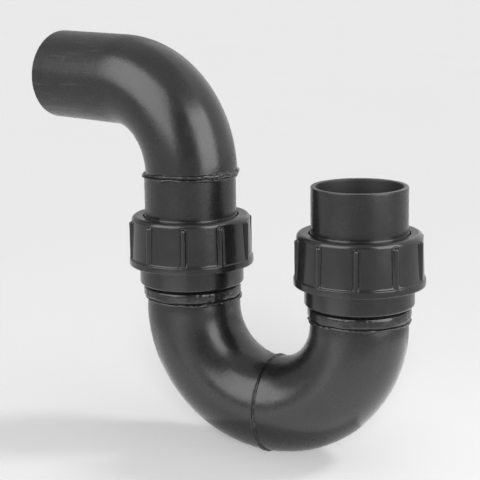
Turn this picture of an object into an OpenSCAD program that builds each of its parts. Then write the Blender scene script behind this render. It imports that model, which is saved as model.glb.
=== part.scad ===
// Tubular drain trap: two welded elbows under two screw unions, with an outlet arm.
// Millimetres. The origin is the centre of the inlet spigot's open rim, +Z up.
// The outlet leg stands at -X, and the arm leaves it towards -X.

/* [Pipe] */
// Outside diameter of the pipe, spigots and elbows
pipe_od = 56; // [54:0.5:57]
// Wall thickness of the pipe
wall = 3; // [2.6:0.1:3.4]
// Radius of the trap's bends, measured on the pipe's axis
bend_r = 55.7; // [50:0.1:70]
// Outside radius of the trap's two elbows, which are thicker than the pipe
elbow_r = 28.7; // [28.2:0.1:29.6]

/* [Trap] */
// Length from the inlet bend's end to the weld under its sleeve
inlet_stub = 4.9; // [4:0.1:20]
// Length from the outlet bend's end to the weld under its sleeve
outlet_stub = 6.5; // [4:0.1:20]
// Length from the weld under the inlet sleeve to the spigot's rim
inlet_union_len = 76.5; // [72:0.1:90]
// Length from the weld under the outlet sleeve to the weld under the arm
outlet_union_len = 75.2; // [72:0.1:90]
// How far the outlet union is welded off the leg's axis, away from the inlet leg
outlet_union_shift = 1.1; // [0:0.1:1.2]

/* [Outlet arm] */
// Angle of the outlet bend, in degrees
outlet_bend = 88.5; // [45:0.5:90]
// Radius of the outlet bend, measured on the pipe's axis
outlet_bend_r = 55; // [40:0.5:70]
// Straight length after the outlet bend
outlet_tail = 54.2; // [20:0.1:120]
// Direction of the arm, turned about the outlet leg, in degrees
arm_swivel = -9; // [-30:0.5:30]

/* [Union nut] */
// Radius of the nut's body at its lower end
nut_r = 37.1; // [36.4:0.1:38]
// Height of the nut
nut_h = 30.3; // [29:0.1:32]
// Number of grip ribs
ribs = 10; // [6:1:16]
// How far a rib stands out of the nut's body
rib_out = 1.1; // [0.4:0.1:1.2]
// Width of a rib
rib_w = 2.7; // [1.6:0.1:4]
// Turn of the inlet nut's ribs, in degrees
inlet_nut_turn = 2.5; // [-18:0.5:18]
// Turn of the outlet nut's ribs, in degrees
outlet_nut_turn = 5.5; // [-18:0.5:18]

/* [Threaded sleeve] */
// Radius of the smooth band under the thread
band_r = 31.9; // [31.6:0.1:33]
// Radius of the sleeve's core under the thread's ridge
core_r = 30.4; // [30:0.1:31]

/* [Weld beads] */
// How far the rolls at a leg's weld stand out of the pipe
leg_bead = 2; // [0.8:0.1:2.3]
// How far the rolls at the arm's weld stand out of the pipe
arm_bead = 1.3; // [0.6:0.1:2]
// How far the seam's rolls at the foot of the trap stand out of the elbows
seam_bead = 1; // [0.4:0.1:2]

/* [Quality] */
// Facets of a full circle
$fn = 96; // [48:8:160]

/* [Hidden] */

ro = pipe_od / 2;            // outside radius of the pipe
ri = ro - wall;              // inside radius of the pipe
span = 2 * bend_r;           // distance between the legs
inlet_weld = -inlet_union_len;             // weld between elbow and sleeve, inlet leg
arc_z = inlet_weld - inlet_stub;           // where the legs' bends begin
outlet_weld = arc_z + outlet_stub;         // the same weld on the outlet leg
arm_weld = outlet_weld + outlet_union_len; // weld under the arm

// heights above the weld, the same in both unions
neck_z = 5.7;                // narrowest place between the weld's roll and the band
band_z0 = 7.8;               // lower corner of the smooth band
face_z = 37.2;               // sleeve's sealing face
seal_t = 3;                  // seal's thickness
flange_z = face_z + seal_t;  // underside of the bush's flange
flange_t = 4.4;              // flange's thickness
flange_r = 31.5;             // flange's radius
nut_z0 = 19.7;               // lower edge of the nut
nut_z1 = nut_z0 + nut_h;     // top of the nut
band_z1 = nut_z0 + 1.4;      // upper edge of the smooth band, just inside the nut
lip_r = band_r + 0.5;        // nut's mouth around the band
shoulder_z = flange_z + flange_t; // nut's shoulder on the flange
nut_bore = 32.1;             // nut's bore, at the root of its thread
hole_r = ro + 1.3;           // hole in the nut's top
pilot_r = ri + 2.4;          // bush's pilot inside the sleeve
pilot_h = 5.6;               // pilot's reach below the flange
socket_r = pilot_r + 0.3;    // counterbore in the sleeve
socket_d = 3.2;              // counterbore's depth

// Profile of a half bead: a roll beside the weld plane at y = 0, on the side of +y.
// r is the pipe's radius, h the roll's height and w its width; its foot dips into the wall.
function roll(r, h, w) = [for (i = [0:10]) let (a = 18 * i)
    [i == 10 ? r - 0.3 : r + h * (0.22 + 0.78 * sin(a)), w * (1 - cos(a)) / 2]];

// Ring of one half bead on a pipe of radius r, standing on the weld plane, from inside the wall outwards.
module half_bead(r, h, w) {
    rotate_extrude()
        polygon(concat([[r - 1, 0]], roll(r, h, w), [[r - 1, w]]));
}

// Bend of pipe in the XZ plane: its axis starts at the origin along +Z and turns to -X on a radius of at.
module bend(angle, at, r) {
    translate([-at, 0, 0]) rotate([90, 0, 0])
        rotate_extrude(angle = angle)
            translate([at, 0]) difference() { circle(r = r); circle(r = ri); }
}

// Half of the trap's U, with the leg upright at x = 0 and its foot's seam at x = -bend_r.
module trap_elbow(stub) {
    translate([0, 0, arc_z]) {
        mirror([0, 0, 1]) bend(90, bend_r, elbow_r);
        // the stub tapers from the elbow down to the pipe's size at the weld
        rotate_extrude() polygon([[ri, 0], [elbow_r, 0], [ro + 0.1, stub], [ri, stub]]);
        // rolls at the leg's weld and at the seam
        translate([0, 0, stub]) mirror([0, 0, 1]) half_bead(ro, leg_bead, 2.6);
        translate([-bend_r, 0, -bend_r]) rotate([0, 90, 0]) half_bead(elbow_r, seam_bead, 1.3);
    }
}

// Sleeve from its weld up to the sealing face; the thread's ridge stands on its core.
module threaded_sleeve() {
    b = ro + leg_bead;
    rotate_extrude() polygon(concat(
        // broad roll above the weld, the neck, and the slope up to the band
        [[ri, 0], [ro + 0.4, 0], [b - 0.6, 0.25], [b - 0.2, 0.8], [b, 1.6], [b, 3.1], [b - 0.15, 3.9],
         [b - 0.5, 4.6], [ro + 0.6, neck_z - 0.5], [ro + 0.5, neck_z], [ro + 0.7, neck_z + 0.4]],
        [for (i = [0:4]) let (a = -50 + 12.5 * i) [band_r - 1.2 + 1.2 * cos(a), band_z0 + 1.2 + 1.2 * sin(a)]],
        [[band_r, band_z1 - 0.5], [band_r - 0.5, band_z1], [core_r, band_z1]],
        [[core_r, face_z - 0.6], [core_r - 0.6, face_z],
         [socket_r, face_z], [socket_r, face_z - socket_d], [ri, face_z - socket_d]]));
}

// Flat rubber ring around the bush's pilot.
module seal() {
    rotate_extrude() polygon([[pilot_r + 0.3, face_z], [29.3, face_z], [29.7, face_z + 0.4],
        [29.7, flange_z - 0.4], [29.3, flange_z], [pilot_r + 0.3, flange_z]]);
}

// Spigot with a flange at its foot, a low collar under the nut and a pilot that centres it.
module flange_bush(top) {
    rotate_extrude() polygon([
        [ri, flange_z - pilot_h], [pilot_r - 0.5, flange_z - pilot_h], [pilot_r, flange_z - pilot_h + 0.5],
        [pilot_r, flange_z], [flange_r - 0.4, flange_z], [flange_r, flange_z + 0.4],
        [flange_r, shoulder_z - 0.4], [flange_r - 0.4, shoulder_z], [ro + 0.9, shoulder_z],
        [ro + 0.5, shoulder_z + 0.4], [ro + 0.5, nut_z1 + 0.1], [ro, nut_z1 + 0.1], [ro, top], [ri, top]]);
}

// Union nut: flat top with a rounded shoulder, ribs and a ring around its lower edge.
module union_nut() {
    ring_r = nut_r + 1.2;
    rotate_extrude() polygon(concat(
        [[nut_bore, nut_z0 + 3], [lip_r, nut_z0 + 2.4], [lip_r, nut_z0 + 0.4], [lip_r + 0.4, nut_z0]],
        // lower ring, with a small step into the body
        [for (i = [0:4]) let (a = -90 + 22.5 * i) [ring_r - 1.3 + 1.3 * cos(a), nut_z0 + 1.3 + 1.3 * sin(a)]],
        [for (i = [0:3]) let (a = 25 * i) [ring_r - 1 + 1 * cos(a), nut_z0 + 4.1 + 1 * sin(a)]],
        [[nut_r + 0.1, nut_z0 + 5.8]],
        // body and rounded shoulder
        [for (i = [0:5]) let (a = 18 * i) [nut_r - 0.8 - 1.3 + 1.3 * cos(a), nut_z1 - 1.3 + 1.3 * sin(a)]],
        [[hole_r + 0.4, nut_z1], [hole_r, nut_z1 - 0.4], [hole_r, shoulder_z],
         [nut_bore, shoulder_z]]));
    for (i = [0:ribs - 1]) rotate([0, 0, i * 360 / ribs]) rib();
}

// Grip rib: a slender bar with a rounded face and a rounded upper tip, sunk into the ring.
module rib() {
    r = rib_w / 2;
    z1 = nut_z1 - 3 - r;
    translate([nut_r - r + rib_out, 0, 0]) rotate_extrude($fn = 32)
        polygon(concat([[0, nut_z0 + 2.5], [r, nut_z0 + 2.5]],
            [for (i = [0:7]) [r * cos(12 * i), z1 + r * sin(12 * i)]], [[0, z1 + r]]));
}

// Outlet arm above its weld, upright at x = 0 and turned about its leg.
module arm() {
    translate([-outlet_bend_r, 0, 0]) rotate([0, -outlet_bend, 0]) translate([outlet_bend_r, 0, 0]) {
        rotate_extrude() translate([ri, 0]) square([wall, outlet_tail]);
        mirror([0, 0, 1]) bend(outlet_bend, outlet_bend_r, ro);
    }
    half_bead(ro, arm_bead, 2);
}

// Places a union's piece on its leg, with its weld plane at the leg's weld.
module on_inlet() { translate([0, 0, inlet_weld]) children(); }
module on_outlet() { translate([-span - outlet_union_shift, 0, outlet_weld]) children(); }

module trap_elbow_inlet_side() { color([0.13, 0.13, 0.135]) trap_elbow(inlet_stub); }
module trap_elbow_outlet_side() { color([0.13, 0.13, 0.135]) translate([-span, 0, 0]) mirror([1, 0, 0]) trap_elbow(outlet_stub); }
module inlet_threaded_sleeve() { color([0.12, 0.12, 0.125]) on_inlet() threaded_sleeve(); }
module outlet_threaded_sleeve() { color([0.12, 0.12, 0.125]) on_outlet() threaded_sleeve(); }
module inlet_seal() { color([0.05, 0.05, 0.05]) on_inlet() seal(); }
module outlet_seal() { color([0.05, 0.05, 0.05]) on_outlet() seal(); }
module inlet_flange_bush() { color([0.13, 0.13, 0.135]) on_inlet() flange_bush(inlet_union_len); }
module outlet_flange_bush() {
    color([0.13, 0.13, 0.135]) on_outlet() {
        flange_bush(outlet_union_len);
        translate([0, 0, outlet_union_len]) mirror([0, 0, 1]) half_bead(ro, arm_bead, 2);
    }
}
module inlet_union_nut() { color([0.15, 0.15, 0.155]) on_inlet() rotate([0, 0, inlet_nut_turn]) union_nut(); }
module outlet_union_nut() { color([0.15, 0.15, 0.155]) on_outlet() rotate([0, 0, outlet_nut_turn]) union_nut(); }
module outlet_elbow() { color([0.13, 0.13, 0.135]) translate([-span, 0, arm_weld]) rotate([0, 0, arm_swivel]) arm(); }

trap_elbow_inlet_side();
trap_elbow_outlet_side();
inlet_threaded_sleeve();
outlet_threaded_sleeve();
inlet_seal();
outlet_seal();
inlet_flange_bush();
outlet_flange_bush();
inlet_union_nut();
outlet_union_nut();
outlet_elbow();
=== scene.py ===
import math

import bpy
import numpy as np
from mathutils import Matrix, Vector


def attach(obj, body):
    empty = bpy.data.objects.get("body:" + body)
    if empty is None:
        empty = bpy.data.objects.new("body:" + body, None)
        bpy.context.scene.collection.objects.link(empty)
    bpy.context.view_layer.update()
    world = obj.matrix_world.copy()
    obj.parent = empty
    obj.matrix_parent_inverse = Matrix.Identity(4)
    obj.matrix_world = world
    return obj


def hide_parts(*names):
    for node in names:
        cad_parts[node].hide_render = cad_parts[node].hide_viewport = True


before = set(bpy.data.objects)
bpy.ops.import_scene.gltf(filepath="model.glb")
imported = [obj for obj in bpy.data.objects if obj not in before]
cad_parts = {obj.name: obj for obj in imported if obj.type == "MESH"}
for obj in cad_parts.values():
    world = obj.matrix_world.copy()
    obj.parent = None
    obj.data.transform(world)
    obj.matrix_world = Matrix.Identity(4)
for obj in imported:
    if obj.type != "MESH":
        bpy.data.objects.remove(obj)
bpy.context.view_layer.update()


# ------------------------------------------------------------------ dimensions, mm
RO, WALL, BEND, OUT_BEND = 28.0, 3.0, 55.7, 55.0
RI = RO - WALL
ELBOW_R = 28.7
SPAN = 2 * BEND
OUT_X = -SPAN - 1.1                        # the outlet union's axis, welded a little off its leg's
ARC_Z, IN_STUB, OUT_STUB = -81.4, 4.9, 6.5
IN_WELD, OUT_WELD, ARM_WELD = ARC_Z + IN_STUB, ARC_Z + OUT_STUB, 0.3
SWIVEL, OUT_ANGLE, TAIL = math.radians(-9.0), math.radians(88.5), 54.2
# heights above a union's lower weld
NUT_H0, FACE_H, FLANGE_H, SHOULDER_H, NUT_H1 = 19.7, 37.2, 40.2, 44.6, 50.0
BAND_R, BAND_H0 = 31.9, 7.8
NUT_R = 37.1
PITCH = 4.0
LEG_BEAD, ARM_BEAD, SEAM_BEAD = 2.0, 1.3, 1.0


# ------------------------------------------------------------------ mesh helpers
def build(name, grid, body, node, mat, sharp=50, seam_u=None):
    """A closed shell from a grid of points (mm), closed both ways: rows go round the section, columns round the axis."""
    p, n, _ = grid.shape
    verts = grid.reshape(-1, 3) / 1000.0
    i, j = np.meshgrid(np.arange(p), np.arange(n), indexing="ij")
    i2, j2 = (i + 1) % p, (j + 1) % n
    f = np.stack([i * n + j, i2 * n + j, i2 * n + j2, i * n + j2], -1).reshape(-1, 4)
    a, b, c, d = (verts[f[:, k]] for k in range(4))
    vol = np.einsum("ij,ij->i", a, np.cross(b, c)).sum() + np.einsum("ij,ij->i", a, np.cross(c, d)).sum()
    if vol < 0:
        f = f[:, ::-1]
    me = bpy.data.meshes.new(name)
    me.vertices.add(len(verts))
    me.vertices.foreach_set("co", verts.astype(np.float32).ravel())
    me.loops.add(f.size)
    me.loops.foreach_set("vertex_index", f.astype(np.int32).ravel())
    me.polygons.add(len(f))
    me.polygons.foreach_set("loop_start", np.arange(0, f.size, 4, dtype=np.int32))
    me.update(calc_edges=True)
    me.validate()
    me.polygons.foreach_set("use_smooth", np.ones(len(me.polygons), dtype=bool))
    me.set_sharp_from_angle(angle=math.radians(sharp))
    ob = bpy.data.objects.new(name, me)
    bpy.context.scene.collection.objects.link(ob)
    ob.data.materials.append(mat)
    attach(ob, body)
    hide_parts(node)
    return ob


def wave(phi, seed, low=2, high=9, slope=1.0):
    """A smooth, periodic, seeded wobble of about unit size."""
    r = np.random.default_rng(seed)
    out = np.zeros_like(phi)
    total = 0.0
    for k in range(low, high + 1):
        amp = 1.0 / k ** slope
        total += amp * amp / 2
        out = out + amp * np.sin(k * phi + r.uniform(0, 2 * math.pi))
    return out / math.sqrt(total)


def arc_pts(cx, cz, r, a0, a1, n):
    return [(cx + r * math.cos(math.radians(a0 + (a1 - a0) * k / n)), cz + r * math.sin(math.radians(a0 + (a1 - a0) * k / n))) for k in range(n + 1)]


# ------------------------------------------------------------------ materials
def plastic(name, base, rough, spec=0.5, grain=0.02, scuff=0.0):
    m = bpy.data.materials.new(name)
    m.use_nodes = True
    nt = m.node_tree
    b = nt.nodes["Principled BSDF"]
    b.inputs["Metallic"].default_value = 0.0
    b.inputs["IOR"].default_value = 1.5
    tc = nt.nodes.new("ShaderNodeTexCoord")
    # broad, faint change of tone
    n1 = nt.nodes.new("ShaderNodeTexNoise")
    n1.inputs["Scale"].default_value = 38.0
    n1.inputs["Detail"].default_value = 5.0
    n1.inputs["Roughness"].default_value = 0.6
    nt.links.new(tc.outputs["Object"], n1.inputs["Vector"])
    ramp = nt.nodes.new("ShaderNodeValToRGB")
    lo = tuple(c * 0.8 for c in base) + (1,)
    hi = tuple(c * 1.25 for c in base) + (1,)
    ramp.color_ramp.elements[0].color = lo
    ramp.color_ramp.elements[0].position = 0.35
    ramp.color_ramp.elements[1].color = hi
    ramp.color_ramp.elements[1].position = 0.68
    nt.links.new(n1.outputs["Fac"], ramp.inputs["Fac"])
    nt.links.new(ramp.outputs["Color"], b.inputs["Base Color"])
    # roughness varies with handling
    n2 = nt.nodes.new("ShaderNodeTexNoise")
    n2.inputs["Scale"].default_value = 120.0
    n2.inputs["Detail"].default_value = 6.0
    n2.inputs["Roughness"].default_value = 0.65
    nt.links.new(tc.outputs["Object"], n2.inputs["Vector"])
    mr = nt.nodes.new("ShaderNodeMapRange")
    mr.inputs["From Min"].default_value = 0.3
    mr.inputs["From Max"].default_value = 0.7
    mr.inputs["To Min"].default_value = rough - 0.04
    mr.inputs["To Max"].default_value = rough + 0.05
    nt.links.new(n2.outputs["Fac"], mr.inputs["Value"])
    nt.links.new(mr.outputs["Result"], b.inputs["Roughness"])
    # moulded grain
    n3 = nt.nodes.new("ShaderNodeTexNoise")
    n3.inputs["Scale"].default_value = 420.0
    n3.inputs["Detail"].default_value = 4.0
    nt.links.new(tc.outputs["Object"], n3.inputs["Vector"])
    bump = nt.nodes.new("ShaderNodeBump")
    bump.inputs["Strength"].default_value = grain
    bump.inputs["Distance"].default_value = 0.0006
    nt.links.new(n3.outputs["Fac"], bump.inputs["Height"])
    nt.links.new(bump.outputs["Normal"], b.inputs["Normal"])
    return m


M_PIPE = plastic("pipe_black", (0.014, 0.014, 0.0145), 0.26, grain=0.10)
M_SLEEVE = plastic("sleeve_black", (0.014, 0.014, 0.0145), 0.22, grain=0.10)
M_NUT = plastic("nut_black", (0.016, 0.016, 0.0165), 0.20, grain=0.12)
M_BUSH = plastic("spigot_black", (0.014, 0.014, 0.0145), 0.26, grain=0.10)
M_SEAL = plastic("seal_black", (0.010, 0.010, 0.010), 0.65, grain=0.10)




def rough_bore_painted_light(m, rough, bore_painted_light_tone):
    """The bore of an upright spigot on the row's own axis is rougher than its outside, and its tone is painted greyer:
    painted light standing in for the light that reaches into the bore.
    """
    nt = m.node_tree
    b = nt.nodes["Principled BSDF"]
    tc = nt.nodes.new("ShaderNodeTexCoord")
    flat = nt.nodes.new("ShaderNodeVectorMath")
    flat.operation = "MULTIPLY"
    flat.inputs[1].default_value = (1, 1, 0)
    far = nt.nodes.new("ShaderNodeVectorMath")
    far.operation = "LENGTH"
    mask = nt.nodes.new("ShaderNodeMapRange")
    mask.inputs["From Min"].default_value = 0.0256
    mask.inputs["From Max"].default_value = 0.0260
    mask.inputs["To Min"].default_value = 1.0
    mask.inputs["To Max"].default_value = 0.0
    nt.links.new(tc.outputs["Object"], flat.inputs[0])
    nt.links.new(flat.outputs["Vector"], far.inputs[0])
    nt.links.new(far.outputs["Value"], mask.inputs["Value"])
    # mix in the bore's own roughness and its grey tone, which is painted light
    for name, value in (("Roughness", rough), ("Base Color", bore_painted_light_tone)):
        old = b.inputs[name].links[0].from_socket
        mix = nt.nodes.new("ShaderNodeMix")
        mix.data_type = "FLOAT" if name == "Roughness" else "RGBA"
        ins = [i for i in mix.inputs if i.enabled]
        ins[2].default_value = value
        nt.links.new(mask.outputs["Result"], ins[0])
        nt.links.new(old, ins[1])
        nt.links.new([o for o in mix.outputs if o.enabled][0], b.inputs[name])


def scraped_tail(m):
    """The arm's straight end carries lengthwise scuffs from its preparation for a coupling."""
    nt = m.node_tree
    b = nt.nodes["Principled BSDF"]
    tc = nt.nodes.new("ShaderNodeTexCoord")
    turn = nt.nodes.new("ShaderNodeVectorRotate")
    turn.rotation_type = "Z_AXIS"
    turn.inputs["Angle"].default_value = -SWIVEL
    nt.links.new(tc.outputs["Object"], turn.inputs["Vector"])
    part = nt.nodes.new("ShaderNodeSeparateXYZ")
    nt.links.new(turn.outputs["Vector"], part.inputs["Vector"])
    where = nt.nodes.new("ShaderNodeMapRange")
    where.inputs["From Min"].default_value = -0.158
    where.inputs["From Max"].default_value = -0.172
    nt.links.new(part.outputs["X"], where.inputs["Value"])
    masks = []
    for scale, lo, hi in (((28.0, 520.0, 520.0), 0.62, 0.70), ((9.0, 260.0, 260.0), 0.35, 0.65)):
        long = nt.nodes.new("ShaderNodeVectorMath")
        long.operation = "MULTIPLY"
        long.inputs[1].default_value = scale
        nt.links.new(turn.outputs["Vector"], long.inputs[0])
        nz = nt.nodes.new("ShaderNodeTexNoise")
        nz.inputs["Scale"].default_value = 1.0
        nz.inputs["Detail"].default_value = 3.0
        nt.links.new(long.outputs["Vector"], nz.inputs["Vector"])
        mr = nt.nodes.new("ShaderNodeMapRange")
        mr.inputs["From Min"].default_value = lo
        mr.inputs["From Max"].default_value = hi
        nt.links.new(nz.outputs["Fac"], mr.inputs["Value"])
        both = nt.nodes.new("ShaderNodeMath")
        both.operation = "MULTIPLY"
        nt.links.new(mr.outputs["Result"], both.inputs[0])
        nt.links.new(where.outputs["Result"], both.inputs[1])
        masks.append(both.outputs["Value"])
    for name, value, mask in (("Base Color", (0.055, 0.055, 0.056, 1.0), masks[0]), ("Roughness", 0.29, masks[1])):
        old = b.inputs[name].links[0].from_socket
        mix = nt.nodes.new("ShaderNodeMix")
        mix.data_type = "FLOAT" if name == "Roughness" else "RGBA"
        ins = [i for i in mix.inputs if i.enabled]
        ins[2].default_value = value
        nt.links.new(mask, ins[0])
        nt.links.new(old, ins[1])
        nt.links.new([o for o in mix.outputs if o.enabled][0], b.inputs[name])


M_ARM = plastic("arm_black", (0.014, 0.014, 0.0145), 0.26, grain=0.10)
scraped_tail(M_ARM)
# the bore's grey tone (0.035) is painted light for the light reaching into the bore; its roughness 0.5 is the bore's
# own
rough_bore_painted_light(M_BUSH, 0.5, (0.035, 0.035, 0.036, 1.0))


# ------------------------------------------------------------------ weld beads
def bead_r(s, th, height, width, seed):
    """Radius added by half a rolled bead at distance s >= 0 from its weld plane."""
    w = width * (1 + 0.13 * wave(th, seed + 1, 3, 13, 0.6) + 0.05 * wave(th, seed + 3, 16, 50, 0.3))
    h = height * np.minimum(1 + 0.12 * wave(th, seed, 2, 11, 0.6) + 0.08 * wave(th, seed + 5, 16, 56, 0.3), 1.25)
    t = np.clip(s / w, 0, 1)
    prof = 0.2 + 0.8 * np.sin(np.pi * np.minimum(t * 0.93 + 0.02, 1.0)) ** 0.8
    prof = np.maximum(prof, 0.5 * np.clip(1 - s / 0.8, 0, 1))
    edge = np.clip((1 - t) / 0.14, 0, 1)
    return np.where(s < w, h * prof * np.sqrt(edge), 0.0)


def seam_shift(s, th, seed, amp):
    """How far the weld's line wanders along the pipe; both sides of a weld share it."""
    return amp * wave(th, seed + 2, 2, 16, 0.7) * np.exp(-(s / 2.4) ** 2)


# ------------------------------------------------------------------ bent pipes
def bent_pipe(name, node, body, bend, segs, ends, grow, mat, place, nphi=256):
    """A pipe along straight and bent stretches in the XZ plane. segs: ('line', length) or ('arc', angle), starting at the
    origin along +Z and bending to -X. ends: a dict for the weld at each end, or None for a cut end. grow(s): radius added."""
    total = sum(l if k == "line" else l * bend for k, l in segs)

    def at(s):
        pos, ang, left = np.zeros(2), 0.0, s
        for n, (k, l) in enumerate(segs):
            length = l if k == "line" else l * bend
            use = left if n == len(segs) - 1 else min(left, length)
            if k == "line":
                pos = pos + np.array([-math.sin(ang), math.cos(ang)]) * use
            else:
                c = pos - np.array([math.cos(ang), math.sin(ang)]) * bend
                ang += use / bend
                pos = c + bend * np.array([math.cos(ang), math.sin(ang)])
            left -= use
            if left <= 1e-9:
                break
        return pos, ang

    # samples of arc length: fine in the beads, even along the pipe
    s_out = set()
    for end in (0, 1):
        fine = [0.0, 0.06, 0.15, 0.3, 0.45, 0.6, 0.75, 0.9, 1.05, 1.2, 1.35, 1.5, 1.65, 1.8, 1.95, 2.1, 2.25, 2.4, 2.55, 2.7, 2.9, 3.2, 3.8, 4.6] if ends[end] else [0.0, 0.12, 0.3, 0.6, 1.2, 2.4]
        for x in fine:
            s_out.add(round(x if end == 0 else total - x, 5))
    n = int(total / 2.2)
    for k in range(1, n):
        x = total * k / n
        if 4.8 < x < total - 4.8:
            s_out.add(round(x, 5))
    phi = np.linspace(0, 2 * math.pi, nphi, endpoint=False)
    rows = []

    def ring(s, r):
        pos, ang = at(s)
        shift = 0.0
        for end, d in ((0, s), (1, total - s)):
            e = ends[end]
            if e:
                shift = shift + e["sign"] * seam_shift(d, e["th"](phi), e["seed"], e["amp"])
        x = pos[0] + r * np.cos(phi) * math.cos(ang) - math.sin(ang) * shift
        z = pos[1] + r * np.cos(phi) * math.sin(ang) + math.cos(ang) * shift
        return np.stack([x, r * np.sin(phi), z], -1)

    for s in sorted(s_out):
        r = np.full(nphi, RO + grow(s, total))
        for end, d in ((0, s), (1, total - s)):
            e = ends[end]
            if e:
                r = r + bead_r(np.full(nphi, d), e["th"](phi), e["h"], e["w"], e["seed"])
            elif d < 0.5:
                r = r - 0.28 * (1 - d / 0.5) ** 2 + 0.10 * (1 - d / 0.5) * np.clip(wave(phi, 77, 3, 22, 0.4), 0, 2) * (0.5 - 0.5 * np.cos(phi))
        rows.append(ring(s, r))
    rf = RO + grow(total, total)
    for r in (rf - 0.8, RI + 0.8):
        rows.append(ring(total, np.full(nphi, r)))
    inner = [total, total - 0.4] + [total * (1 - k / n) for k in range(1, n)] + [0.4, 0.0]
    for s in inner:
        r = RI + (0.15 if (s > total - 0.3 or s < 0.3) else 0.0)
        rows.append(ring(s, np.full(nphi, r)))
    for r in (RI + 0.8, RO - 0.8):
        rows.append(ring(0.0, np.full(nphi, r)))
    return build(name, place(np.array(rows)), body, node, mat, sharp=40)


def place_inlet_elbow(g):
    # starts at the leg's weld, goes down and bends to -X
    g = g.copy()
    g[..., 2] = IN_WELD - g[..., 2]
    return g


def place_outlet_elbow(g):
    g = g.copy()
    g[..., 0] = -SPAN - g[..., 0]
    g[..., 2] = OUT_WELD - g[..., 2]
    return g


def place_arm(g):
    g = g.copy()
    x, y = g[..., 0].copy(), g[..., 1].copy()
    c, s = math.cos(SWIVEL), math.sin(SWIVEL)
    g[..., 0] = -SPAN + x * c - y * s
    g[..., 1] = x * s + y * c
    g[..., 2] += ARM_WELD
    return g


def elbow_grow(s, total):
    t = min(s / 6.0, 1.0)
    return 0.1 + (ELBOW_R - RO - 0.1) * t


def same(th):
    return th


def weld(h, w, seed, amp, sign=1.0, th=same):
    return {"h": h, "w": w, "seed": seed, "amp": amp, "sign": sign, "th": th}


SEAM_W = 1.25
elbow_in = bent_pipe("elbow_inlet_side", "trap_elbow_inlet_side", "trap", BEND, [("line", IN_STUB), ("arc", math.pi / 2)],
          (weld(LEG_BEAD * 0.82, 2.1, 11, 0.22, -1.0), weld(SEAM_BEAD * 0.9, SEAM_W, 31, 0.12, -1.0)), elbow_grow, M_PIPE, place_inlet_elbow)
elbow_out = bent_pipe("elbow_outlet_side", "trap_elbow_outlet_side", "trap", BEND, [("line", OUT_STUB), ("arc", math.pi / 2)],
          (weld(LEG_BEAD * 0.82, 2.1, 12, 0.22, -1.0, lambda t: math.pi - t), weld(SEAM_BEAD * 0.9, SEAM_W, 31, 0.12, 1.0)), elbow_grow, M_PIPE, place_outlet_elbow)
bent_pipe("outlet_arm_elbow", "outlet_elbow", "outlet_arm", OUT_BEND, [("arc", OUT_ANGLE), ("line", TAIL)],
          (weld(ARM_BEAD, 1.8, 13, 0.28, 1.0, lambda t: t + SWIVEL), None), lambda s, total: 0.0, M_ARM, place_arm)


# ------------------------------------------------------------------ turned pieces
def lathe(name, node, body, prof, mat, x0, z0, theta, radial=None, sharp=50):
    """A closed profile (r, h) turned about the leg at x0, h above z0. radial(r, h, theta) returns r and h at each point."""
    prof = np.array(prof)
    r = np.repeat(prof[:, :1], len(theta), 1)
    z = np.repeat(prof[:, 1:], len(theta), 1)
    th = np.repeat(theta[None, :], len(prof), 0)
    if radial is not None:
        r, z = radial(r, z, th)
    grid = np.stack([x0 + r * np.cos(th), r * np.sin(th), z + z0], -1)
    return build(name, grid, body, node, mat, sharp=sharp)


def thread_height(z, th, z0, z1, pitch, depth, run=1.2):
    """A rounded trapezoid ridge on a right-hand helix, fading out at both ends."""
    ph = (z / pitch - th / (2 * math.pi)) % 1.0
    d = np.abs(ph - 0.5) * 2          # 0 on the crest, 1 in the root
    ridge = np.clip((0.72 - d) / 0.34, 0, 1)
    ridge = ridge * ridge * (3 - 2 * ridge)
    fade = np.clip((z - z0) / run, 0, 1) * np.clip((z1 - z) / run, 0, 1)
    return depth * ridge * fade


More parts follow.
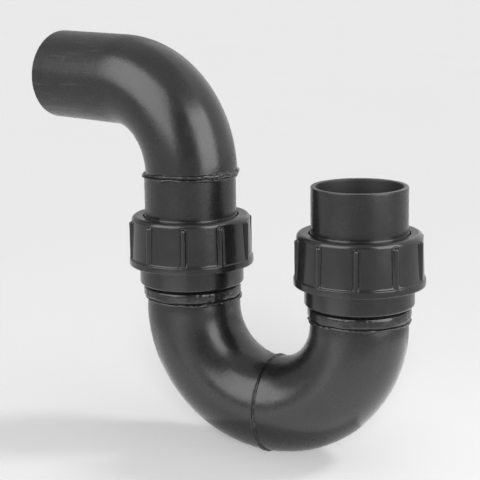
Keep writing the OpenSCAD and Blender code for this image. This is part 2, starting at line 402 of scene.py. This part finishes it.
def make_sleeve(name, node, x0, z0, seed):
    outer = []
    # broad roll above the weld
    for t in (0, 0.012, 0.03, 0.06, 0.1, 0.15, 0.21, 0.28, 0.36, 0.45, 0.54, 0.63, 0.71, 0.78, 0.84, 0.89, 0.93, 0.965, 0.99, 1.0):
        k = (1 - abs(2 * t - 1) ** 4.5) ** 0.55
        base = 1.0 if t < 0.5 else 0.42
        outer.append((RO + base + (LEG_BEAD - base) * k, 6.3 * t))
    n_roll = len(outer)
    outer += [(RO + 0.5, 6.55), (RO + 0.8, 6.85)]
    c = (BAND_R - 1.2, BAND_H0 + 1.2)
    outer += [(RO + 1.6, 7.2), (RO + 2.7, 7.62)] + arc_pts(c[0], c[1], 1.2, -52, 0, 9)
    outer += [(BAND_R, NUT_H0 - 4.0), (BAND_R, NUT_H0 + 0.8)] + arc_pts(BAND_R - 0.5, NUT_H0 + 0.9, 0.5, 0, 90, 3)
    outer += [(30.6, NUT_H0 + 1.4), (30.4, NUT_H0 + 1.6)]
    zt = np.linspace(NUT_H0 + 1.9, FACE_H - 0.7, 70)
    outer += [(30.4, float(z)) for z in zt]
    outer += [(30.3, FACE_H - 0.5), (29.9, FACE_H - 0.05), (29.6, FACE_H), (28.0, FACE_H), (27.75, FACE_H - 0.05), (27.7, FACE_H - 0.3),
              (27.7, FACE_H - 3.0), (27.6, FACE_H - 3.2), (25.2, FACE_H - 3.2), (RI, FACE_H - 3.4)]
    inner = [(RI, float(z)) for z in np.linspace(FACE_H - 6, 1, 8)] + [(RI + 0.1, 0.0), (RO - 1.5, 0.0)]
    prof = outer + inner

    def radial(r, z, th):
        row = np.repeat(np.arange(len(prof))[:, None], r.shape[1], 1)
        on_roll = row < n_roll
        fold = np.sin(np.clip(z, 0, 6.3) * 1.9 + 2.5 * wave(th, seed + 6, 2, 14, 0.4)) * wave(th, seed + 4, 4, 30, 0.3)
        r = np.where(on_roll, RO + (r - RO) * (1 + 0.06 * wave(th, seed + 7, 2, 9) + 0.03 * wave(th, seed + 8, 14, 56, 0.2) + 0.03 * fold), r)
        z = z + np.where((z < 6) & (r > RI + 1), seam_shift(np.abs(z), th, seed, 0.22), 0.0)
        on_thread = (np.abs(r - 30.4) < 0.05) & (z > NUT_H0 + 1.5)
        r = np.where(on_thread, r + thread_height(z, th, NUT_H0 + 2.2, FACE_H - 0.9, PITCH, 1.5), r)
        return r, z

    lathe(name, node, "trap", prof, M_SLEEVE, x0, z0, np.linspace(0, 2 * math.pi, 256, endpoint=False), radial)


make_sleeve("sleeve_inlet", "inlet_threaded_sleeve", 0.0, IN_WELD, 11)
make_sleeve("sleeve_outlet", "outlet_threaded_sleeve", OUT_X, OUT_WELD, 12)


def make_bush(name, node, body, x0, z0, top, welded, seed, mat):
    prof = [(RI, FLANGE_H - 5.6), (27.0, FLANGE_H - 5.6), (27.4, FLANGE_H - 5.1), (27.4, FLANGE_H - 0.1), (27.5, FLANGE_H),
            (31.1, FLANGE_H), (31.5, FLANGE_H + 0.4), (31.5, SHOULDER_H - 0.4), (31.1, SHOULDER_H), (RO + 0.9, SHOULDER_H),
            (RO + 0.5, SHOULDER_H + 0.4), (RO + 0.5, NUT_H1 - 0.1), (RO + 0.4, NUT_H1 + 0.1), (RO, NUT_H1 + 0.15)]
    if welded:
        prof += [(RO, float(z)) for z in np.linspace(NUT_H1 + 2, top - 4, 8)]
        prof += [(RO, top - 2.4 * t) for t in (1, 0.94, 0.88, 0.82, 0.76, 0.7, 0.62, 0.54, 0.46, 0.38, 0.3, 0.22, 0.15, 0.09, 0.04, 0)]
        prof += [(RO - 1, top), (RI + 0.3, top), (RI, top - 0.3)]
    else:
        prof += [(RO, float(z)) for z in np.linspace(NUT_H1 + 2, top - 1.2, 9)] + [(RO, top - 0.4), (RO - 0.05, top - 0.2), (RO - 0.14, top - 0.07), (RO - 0.3, top),
                 (RO - 1.5, top), (RI + 0.4, top), (RI + 0.18, top - 0.05), (RI + 0.04, top - 0.2), (RI, top - 0.45)]
    prof += [(RI, float(z)) for z in np.linspace(top - 2, FLANGE_H - 4, 9)]

    def radial(r, z, th):
        if welded:
            d = np.abs(top - z)
            on_bead = (r > RO - 0.01) & (d < 2.6)
            r = np.where(on_bead, r + bead_r(d, th, ARM_BEAD, 1.8, seed), r)
            z = z + np.where((d < 5) & (r > RI + 1), seam_shift(d, th, seed, 0.28), 0.0)
        return r, z

    lathe(name, node, body, prof, mat, x0, z0, np.linspace(0, 2 * math.pi, 256, endpoint=False), radial)


make_bush("bush_inlet", "inlet_flange_bush", "inlet_bush", 0.0, IN_WELD, -IN_WELD, False, 0, M_BUSH)
make_bush("bush_outlet", "outlet_flange_bush", "outlet_arm", OUT_X, OUT_WELD, ARM_WELD - OUT_WELD, True, 13, M_PIPE)


def make_nut(name, node, body, x0, z0, turn, seed):
    ribs, hw = 10, 1.35
    rel = np.array([-4.6, -3.9, -3.4, -2.95, -2.6, -2.3, -2.05, -1.8, -1.5, -1.1, -0.7, -0.35, 0, 0.35, 0.7, 1.1, 1.5, 1.8, 2.05, 2.3, 2.6, 2.95, 3.4, 3.9, 4.6])
    gap = np.linspace(6.5, 29.5, 11)
    theta = np.concatenate([math.radians(turn + 36 * k) + np.radians(np.concatenate([rel, gap])) for k in range(ribs)])
    theta = np.sort(theta % (2 * math.pi))
    er = 2.8                                    # shoulder's rounding
    top_r = NUT_R - 0.8
    # outside from the mouth up to the hole, then down the inside
    prof = [(32.4, NUT_H0 + 0.35), (32.5, NUT_H0 + 0.1), (32.75, NUT_H0), (NUT_R - 0.5, NUT_H0), (NUT_R + 0.5, NUT_H0 + 0.02)]
    prof += arc_pts(NUT_R + 0.5, NUT_H0 + 0.62, 0.6, -80, 0, 7)
    prof += [(NUT_R + 1.12, NUT_H0 + 2.0), (NUT_R + 1.09, NUT_H0 + 3.2)] + arc_pts(NUT_R + 0.32, NUT_H0 + 3.6, 0.75, 0, 80, 6)
    prof += [(NUT_R + 0.3, NUT_H0 + 4.55), (NUT_R + 0.13, NUT_H0 + 4.75), (NUT_R + 0.06, NUT_H0 + 5.3)]
    zc = NUT_H1 - er
    prof += [(NUT_R + 0.05 - 0.85 * (z - NUT_H0 - 6) / (zc - NUT_H0 - 6), float(z)) for z in np.concatenate([np.linspace(NUT_H0 + 6, NUT_H1 - 7, 11), np.linspace(NUT_H1 - 6.4, NUT_H1 - 5.0, 4), np.linspace(NUT_H1 - 4.8, NUT_H1 - 3.05, 14), [zc - 0.08]])]
    prof += arc_pts(top_r - er, zc, er, 0, 88, 15)
    prof += [(33.4, NUT_H1 - 0.02), (31.6, NUT_H1 - 0.1), (30.2, NUT_H1 - 0.22)] + arc_pts(29.3 + 0.4, NUT_H1 - 0.66, 0.4, 82, 180, 5)
    prof += [(29.3, NUT_H1 - 3), (29.3, SHOULDER_H + 0.3), (29.6, SHOULDER_H), (31.8, SHOULDER_H), (32.1, SHOULDER_H - 0.3)]
    zt = np.linspace(SHOULDER_H - 1.0, NUT_H0 + 3.2, 84)
    prof += [(32.1, float(z)) for z in zt]
    prof += [(32.2, NUT_H0 + 2.7), (32.4, NUT_H0 + 2.4), (32.4, NUT_H0 + 1.5)]
    tip = NUT_H1 - 3.0
    n_in = len(prof)

    def radial(r, z, th):
        a = ((th - math.radians(turn)) % (2 * math.pi / ribs) + math.pi / ribs) % (2 * math.pi / ribs) - math.pi / ribs
        # distance from the rib's middle line, which ends short of the top in a rounded tip
        u = np.hypot(a * NUT_R, np.maximum(z - (tip - hw), 0)) / hw
        face = np.sqrt(np.clip(1 - (u * 0.86) ** 2, 0, 1))
        side = np.clip((1.2 - u) / 0.34, 0, 1)
        side = side * side * (3 - 2 * side)
        crest = NUT_R + 1.08 - r                 # ribs keep one radius while the body tapers
        knob = 0.12 * np.exp(-((z - tip + hw) ** 2 + (a * NUT_R) ** 2) / 0.7)
        rise = np.clip(crest + knob, 0, 3) * (0.25 + 0.75 * face) * side
        # a shallow groove in the body around each rib
        rise = rise - 0.4 * np.exp(-((u - 1.5) / 0.22) ** 2) * np.clip((z - NUT_H0 - 5.0) / 0.8, 0, 1)
        outside = (r > NUT_R - 1.2) & (z > NUT_H0 + 2.4) & (z < tip + 1.2)
        r = np.where(outside, r + rise, r)
        # the mould's edge on the ring isn't quite even
        low = np.exp(-((z - NUT_H0 - 0.35) / 0.45) ** 2)
        high = np.exp(-((z - NUT_H0 - 4.3) / 0.4) ** 2)
        r = np.where(r > NUT_R + 0.2, r - 0.05 + 0.06 * np.clip(wave(th, seed, 20, 110, 0.1), -1.0, 1.0) * (low + high), r)
        inside = (np.abs(r - 32.1) < 0.01) & (z < SHOULDER_H - 0.9) & (z > NUT_H0 + 3.0)
        # the female thread runs in the male one's grooves
        zz = z + PITCH / 2
        r = np.where(inside, r - thread_height(zz, th, NUT_H0 + 3.4 + PITCH / 2, SHOULDER_H - 4.0 + PITCH / 2, PITCH, 0.53), r)
        return r, z

    lathe(name, node, body, prof, M_NUT, x0, z0, theta, radial, sharp=62)


make_nut("nut_inlet", "inlet_union_nut", "inlet_nut", 0.0, IN_WELD, 2.5, 41)
make_nut("nut_outlet", "outlet_union_nut", "outlet_nut", OUT_X, OUT_WELD, 5.5, 42)

for node in ("inlet_seal", "outlet_seal"):
    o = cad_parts[node]
    for k in range(len(o.material_slots)):
        o.material_slots[k].material = M_SEAL

# ------------------------------------------------------------------ floor and backdrop
FLOOR_Z = -0.16665


def backdrop():
    """One wide sheet of paper; its far edge lies beyond every view."""
    xs = np.linspace(-14.0, 14.0, 29)
    n = len(xs)
    verts = [(x - 0.055, y, FLOOR_Z) for y in xs for x in xs]
    faces = [(i * n + j, i * n + j + 1, (i + 1) * n + j + 1, (i + 1) * n + j) for i in range(n - 1) for j in range(n - 1)]
    me = bpy.data.meshes.new("floor")
    me.from_pydata(verts, [], faces)
    me.polygons.foreach_set("use_smooth", np.ones(len(faces), dtype=bool))
    me.update()
    ob = bpy.data.objects.new("floor", me)
    bpy.context.scene.collection.objects.link(ob)
    m = bpy.data.materials.new("floor_paper")
    m.use_nodes = True
    b = m.node_tree.nodes["Principled BSDF"]
    # paper: a faint cloudiness in its tone
    tc = m.node_tree.nodes.new("ShaderNodeTexCoord")
    nz = m.node_tree.nodes.new("ShaderNodeTexNoise")
    nz.inputs["Scale"].default_value = 3.0
    nz.inputs["Detail"].default_value = 3.0
    mr = m.node_tree.nodes.new("ShaderNodeMapRange")
    mr.inputs["To Min"].default_value = 0.256
    mr.inputs["To Max"].default_value = 0.264
    m.node_tree.links.new(tc.outputs["Object"], nz.inputs["Vector"])
    m.node_tree.links.new(nz.outputs["Fac"], mr.inputs["Value"])
    m.node_tree.links.new(mr.outputs["Result"], b.inputs["Base Color"])
    b.inputs["Roughness"].default_value = 0.9
    b.inputs["Specular IOR Level"].default_value = 0.0
    me.materials.append(m)
    return ob


floor = backdrop()
paper = bpy.data.collections.new("paper")
paper.objects.link(floor)
foot = bpy.data.collections.new("foot")
foot.objects.link(elbow_in)
foot.objects.link(elbow_out)

# ------------------------------------------------------------------ light
world = bpy.data.worlds.new("studio")
bpy.context.scene.world = world
world.use_nodes = True
bg = world.node_tree.nodes["Background"]
bg.inputs["Color"].default_value = (1, 1, 1, 1)
bg.inputs["Strength"].default_value = 0.84
# the studio's dark side, mirrored between the two boxes
wt = world.node_tree
walls = wt.nodes.new("ShaderNodeBackground")
walls.inputs["Color"].default_value = (1, 1, 1, 1)
walls.inputs["Strength"].default_value = 0.56
dark = wt.nodes.new("ShaderNodeBackground")
dark.inputs["Color"].default_value = (1, 1, 1, 1)
dark.inputs["Strength"].default_value = 0.34
coord = wt.nodes.new("ShaderNodeTexCoord")
dot = wt.nodes.new("ShaderNodeVectorMath")
dot.operation = "DOT_PRODUCT"
dot.inputs[1].default_value = (0.461, -0.832, 0.309)
span = wt.nodes.new("ShaderNodeMapRange")
span.interpolation_type = "SMOOTHSTEP"
span.inputs["From Min"].default_value = 0.76
span.inputs["From Max"].default_value = 0.93
path = wt.nodes.new("ShaderNodeLightPath")
room = wt.nodes.new("ShaderNodeMixShader")
blend = wt.nodes.new("ShaderNodeMixShader")
wt.links.new(coord.outputs["Generated"], dot.inputs[0])
wt.links.new(dot.outputs["Value"], span.inputs["Value"])
wt.links.new(span.outputs["Result"], room.inputs["Fac"])
wt.links.new(walls.outputs["Background"], room.inputs[1])
wt.links.new(dark.outputs["Background"], room.inputs[2])
wt.links.new(path.outputs["Is Glossy Ray"], blend.inputs["Fac"])
wt.links.new(bg.outputs["Background"], blend.inputs[1])
wt.links.new(room.outputs["Shader"], blend.inputs[2])
wt.links.new(blend.outputs["Shader"], wt.nodes["World Output"].inputs["Surface"])

MID = Vector((-0.08, 0.0, -0.05))


def aim(o, loc):
    o.location = loc
    o.rotation_mode = "QUATERNION"
    o.rotation_quaternion = (MID - Vector(loc)).to_track_quat("-Z", "Y")


def softbox(name, way, dist, sx, sy, radiance):
    """A rectangle of light seen in reflections; way is the direction towards it."""
    d = bpy.data.lights.new(name, "AREA")
    d.shape = "RECTANGLE"
    d.size, d.size_y = sx * dist, sy * dist
    d.energy = radiance * math.pi * d.size * d.size_y
    o = bpy.data.objects.new(name, d)
    bpy.context.scene.collection.objects.link(o)
    aim(o, MID + Vector(way).normalized() * dist)
    o.visible_diffuse = False
    o.visible_camera = False
    return o


softbox("left_box", (-0.355, -0.760, 0.535), 2.0, 0.98, 0.94, 3.9)
softbox("right_box", (0.915, -0.180, 0.375), 2.0, 0.86, 0.98, 4.8)
softbox("side_fill", (0.438, 0.899, 0.66), 2.0, 1.9, 1.2, 0.6)
softbox("top_fill", (0.05, 0.0, 1.0), 2.0, 1.3, 1.3, 0.2)

RT, FW = Vector((0.8746, 0.4848, 0.0)), Vector((-0.4848, 0.8746, 0.0))


def floor_card(name, right0, right1, front0, front1, radiance):
    """Bright paper around the foot, as the underside of the pipe mirrors it. Right and front are measured from the foot."""
    o = softbox(name, (0.0, 0.0, -1.0), 0.1, 1.0, 1.0, 1.0)
    o.data.size, o.data.size_y = right1 - right0, front1 - front0
    o.data.energy = radiance * math.pi * o.data.size * o.data.size_y
    o.location = Vector((-0.0557, 0.0, FLOOR_Z + 0.004)) + RT * (right0 + right1) / 2 - FW * (front0 + front1) / 2
    o.rotation_mode = "XYZ"
    o.rotation_euler = (math.pi, 0.0, math.atan2(RT.y, RT.x))


floor_card("card_front", -0.20, 0.30, 0.045, 0.20, 0.85)
floor_card("card_right", 0.06, 0.30, -0.14, 0.045, 0.85)
floor_card("card_left", -0.26, -0.05, -0.12, 0.045, 0.55)
floor_card("card_front_left", -0.44, -0.11, 0.12, 0.48, 0.85)


def paper_light(name, az, el, angle, floor_share, blockers=None):
    """Lights the paper only. az is measured from the camera's side, to the right; floor_share is what the floor receives."""
    a, e = math.radians(az), math.radians(el)
    way = (RT * math.sin(a) - FW * math.cos(a)) * math.cos(e) + Vector((0, 0, math.sin(e)))
    d = bpy.data.lights.new(name, "SUN")
    d.energy = floor_share * math.pi / math.sin(e)
    d.angle = math.radians(angle)
    o = bpy.data.objects.new(name, d)
    bpy.context.scene.collection.objects.link(o)
    aim(o, MID + way * 3)
    o.light_linking.receiver_collection = paper
    if blockers is not None:
        o.light_linking.blocker_collection = blockers


paper_light("key", 89.0, 50.5, 13.0, 0.66)
paper_light("front", 0.0, 19.0, 22.0, 0.98, foot)
paper_light("fill", 20.0, 75.0, 40.0, 0.67, paper)
for name, height, to_right, to_front, width, energy in (("glow", 0.5, 0.08, 0.08, 0.4, 0.9), ("glow_right", 0.15, 0.10, 0.02, 0.1, 0.075)):
    glow = softbox(name, (0.0, 0.0, 1.0), 1.0, width, width, 1.0)
    glow.location = Vector((-0.0557, 0.0, FLOOR_Z + height)) + RT * to_right - FW * to_front
    glow.rotation_mode = "XYZ"
    glow.rotation_euler = (0.0, 0.0, 0.0)
    glow.data.energy = energy
    glow.visible_diffuse, glow.visible_glossy = True, False
    glow.light_linking.receiver_collection = paper
    glow.light_linking.blocker_collection = paper

# ------------------------------------------------------------------ camera
F_PX, CX, CY = 1286.75, 240.0, 192.0
AZ, EL, ROLL = math.radians(28.956), math.radians(9.996), math.radians(-0.830)
DIST, TX, TZ, S63 = 866.76, -24.771, 81.248, 63.0 / 56.0
back = Vector((math.sin(AZ) * math.cos(EL), -math.cos(AZ) * math.cos(EL), math.sin(EL)))
right = Vector((math.cos(AZ), math.sin(AZ), 0.0))
up = back.cross(right)
r2 = right * math.cos(ROLL) + up * math.sin(ROLL)
u2 = -right * math.sin(ROLL) + up * math.cos(ROLL)
eye = (Vector((TX, 0.0, TZ)) + back * DIST) / S63 + Vector((-55.74, 0.0, -81.36))
cam_data = bpy.data.cameras.new("camera")
cam = bpy.data.objects.new("camera", cam_data)
bpy.context.scene.collection.objects.link(cam)
cam.matrix_world = Matrix((
    (r2.x, u2.x, back.x, eye.x / 1000),
    (r2.y, u2.y, back.y, eye.y / 1000),
    (r2.z, u2.z, back.z, eye.z / 1000),
    (0, 0, 0, 1)))
cam_data.sensor_width = 36.0
cam_data.lens = F_PX / 480.0 * 36.0
cam_data.shift_x = (240.0 - CX) / 480.0
cam_data.shift_y = (CY - 240.0) / 480.0
cam_data.clip_start, cam_data.clip_end = 0.01, 50.0
bpy.context.scene.camera = cam
bpy.context.scene.view_settings.view_transform = "Standard"
